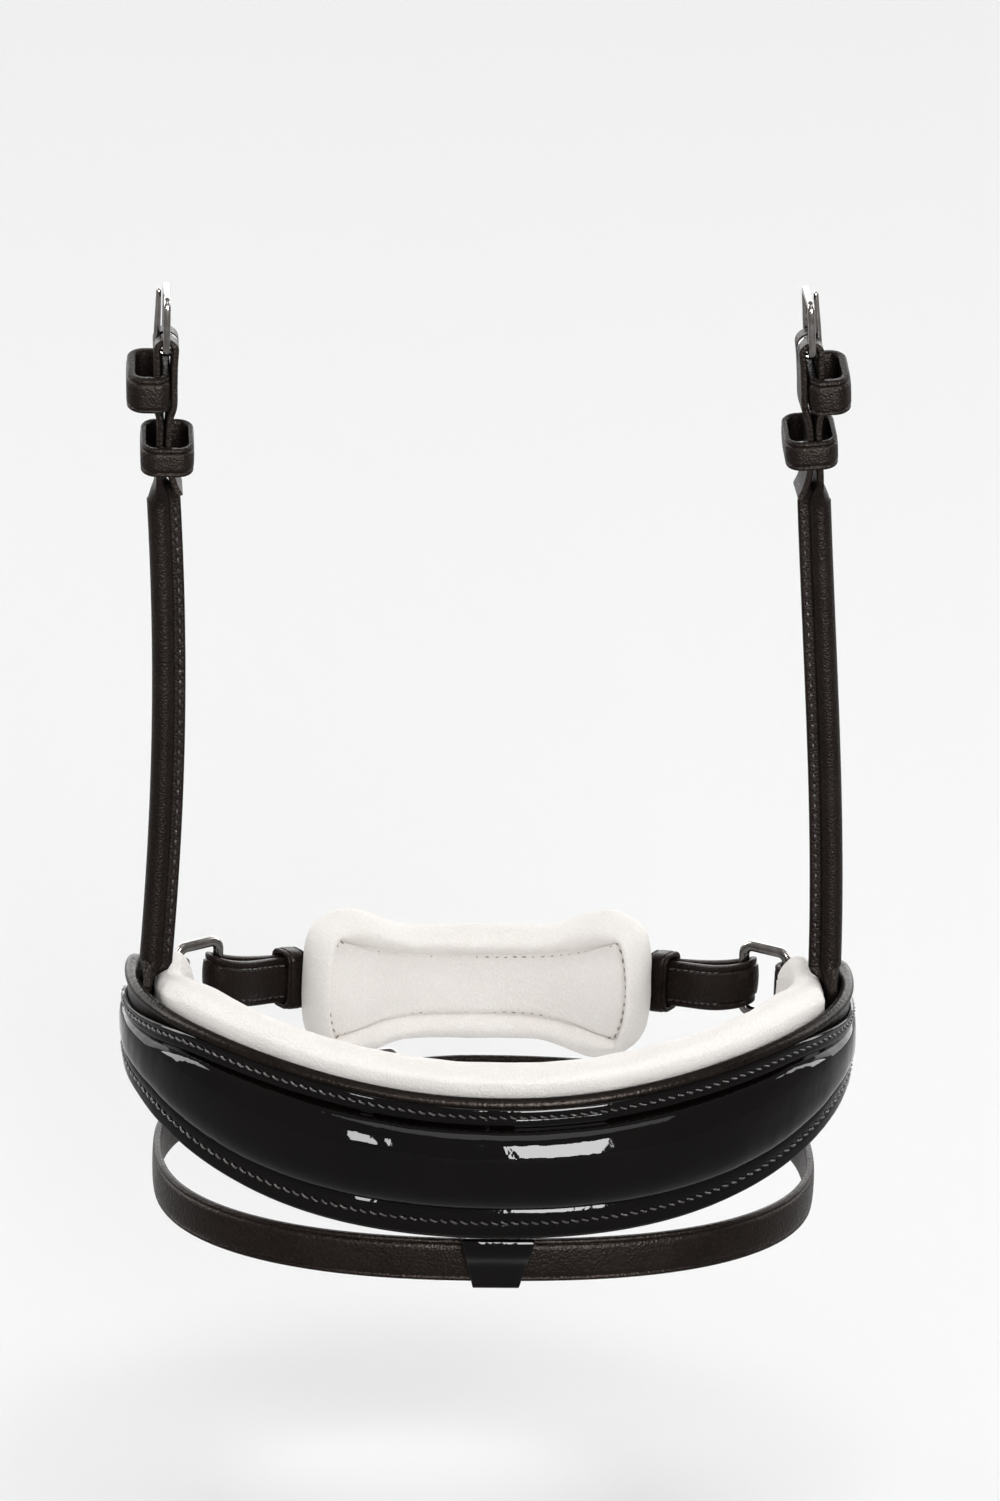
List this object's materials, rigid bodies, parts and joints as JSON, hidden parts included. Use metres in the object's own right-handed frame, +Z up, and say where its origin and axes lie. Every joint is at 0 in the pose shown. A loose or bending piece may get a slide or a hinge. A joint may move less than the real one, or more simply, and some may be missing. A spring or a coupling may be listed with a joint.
{
  "type": "horse noseband",
  "caption": "Padded patent-leather horse noseband with crank rings, padded chin piece, flash strap and two rolled cheek straps with buckles.",
  "frame": {"origin": "middle of the nose pad's inner face, where the noseband rests on the nose", "axes": "+X across to the right as seen from the front, +Y from the front of the nose towards the chin, +Z up along the cheek straps"},
  "size_m": [0.2324, 0.1791, 0.3004],
  "materials": {
    "patent": "black patent leather, mirror gloss",
    "black_leather": "black bridle leather, fine grain, low sheen",
    "white_leather": "white padding leather, soft satin grain",
    "foam": "soft felted filling",
    "steel": "polished stainless steel, slightly grey"
  },
  "bodies": {
    "noseband": {"nose_patent": "patent", "nose_filler": "foam", "nose_backing": "black_leather", "nose_pad_cover": "white_leather", "nose_pad_foam": "foam", "nose_tab_left": "black_leather", "nose_tab_right": "black_leather", "cheek_strap_left": "black_leather", "cheek_strap_right": "black_leather", "cheek_keeper_left": "black_leather", "cheek_keeper_right": "black_leather"},
    "chin_piece": {"chin_pad": "white_leather", "chin_backing": "black_leather", "chin_base_left": "black_leather", "chin_strap_left": "black_leather", "chin_billet_left": "black_leather", "chin_chape_left": "black_leather", "chin_buckle_left": "steel", "chin_prong_left": "steel", "chin_keeper_left": "black_leather", "chin_tail_keeper_left": "black_leather", "chin_base_right": "black_leather", "chin_strap_right": "black_leather", "chin_billet_right": "black_leather", "chin_chape_right": "black_leather", "chin_buckle_right": "steel", "chin_prong_right": "steel", "chin_keeper_right": "black_leather", "chin_tail_keeper_right": "black_leather"},
    "ring_left": {"crank_ring_left": "steel"},
    "ring_right": {"crank_ring_right": "steel"},
    "flash_hanger": {"flash_loop": "patent"},
    "flash": {"flash_strap": "black_leather", "flash_buckle": "steel", "flash_prong": "steel", "flash_keeper": "black_leather"},
    "flash_runner_body": {"flash_runner": "black_leather"},
    "cheek_frame_left": {"cheek_buckle_left": "steel"},
    "cheek_tongue_left": {"cheek_prong_left": "steel"},
    "cheek_slider_left": {"cheek_runner_left": "black_leather"},
    "cheek_frame_right": {"cheek_buckle_right": "steel"},
    "cheek_tongue_right": {"cheek_prong_right": "steel"},
    "cheek_slider_right": {"cheek_runner_right": "black_leather"}
  },
  "joints": [
    {"name": "chin_take_up", "type": "slide", "parent": "noseband", "child": "chin_piece", "axis": [0, -1, 0], "range_m": [0, 0.012], "deforming": ["chin_strap_left", "chin_strap_right"]},
    {"name": "ring_turn_left", "type": "hinge", "parent": "noseband", "child": "ring_left", "pos_m": [-0.09692, 0.09337, 0.01163], "axis": [0, 0, 1], "range_deg": [-18, 3]},
    {"name": "ring_turn_right", "type": "hinge", "parent": "noseband", "child": "ring_right", "pos_m": [0.09692, 0.09337, 0.01163], "axis": [0, 0, 1], "range_deg": [-3, 18]},
    {"name": "flash_swing", "type": "hinge", "parent": "noseband", "child": "flash_hanger", "pos_m": [0, -0.01689, -0.02832], "axis": [1, 0, 0], "range_deg": [-40, 0]},
    {"name": "flash_shift", "type": "slide", "parent": "flash_hanger", "child": "flash", "axis": [1, 0, 0], "range_m": [-0.006, 0.006]},
    {"name": "flash_runner_slide", "type": "slide", "parent": "flash", "child": "flash_runner_body", "axis": [-0.8814, -0.4724, 0], "range_m": [-0.003, 0.002]},
    {"name": "cheek_frame_turn_left", "type": "hinge", "parent": "noseband", "child": "cheek_frame_left", "pos_m": [-0.1051, 0.06051, 0.23363], "axis": [0, -1, 0], "range_deg": [-35, 20]},
    {"name": "cheek_tongue_turn_left", "type": "hinge", "parent": "cheek_frame_left", "child": "cheek_tongue_left", "pos_m": [-0.1051, 0.06051, 0.23363], "axis": [0, -1, 0], "range_deg": [0, 75]},
    {"name": "cheek_runner_slide_left", "type": "slide", "parent": "noseband", "child": "cheek_slider_left", "axis": [0, 0, 1], "range_m": [-0.003, 0.0085]},
    {"name": "cheek_frame_turn_right", "type": "hinge", "parent": "noseband", "child": "cheek_frame_right", "pos_m": [0.0908, 0.06051, 0.23547], "axis": [0, 1, 0], "range_deg": [-35, 20]},
    {"name": "cheek_tongue_turn_right", "type": "hinge", "parent": "cheek_frame_right", "child": "cheek_tongue_right", "pos_m": [0.0908, 0.06051, 0.23547], "axis": [0, 1, 0], "range_deg": [0, 75]},
    {"name": "cheek_runner_slide_right", "type": "slide", "parent": "noseband", "child": "cheek_slider_right", "axis": [-0.0785, 0, 0.9969], "range_m": [-0.003, 0.0055]}
  ],
  "couplings": [
    {"joint": "ring_turn_left", "follows": "chin_take_up", "rad_per_m": -21.8},
    {"joint": "ring_turn_right", "follows": "chin_take_up", "rad_per_m": 21.8}
  ]
}
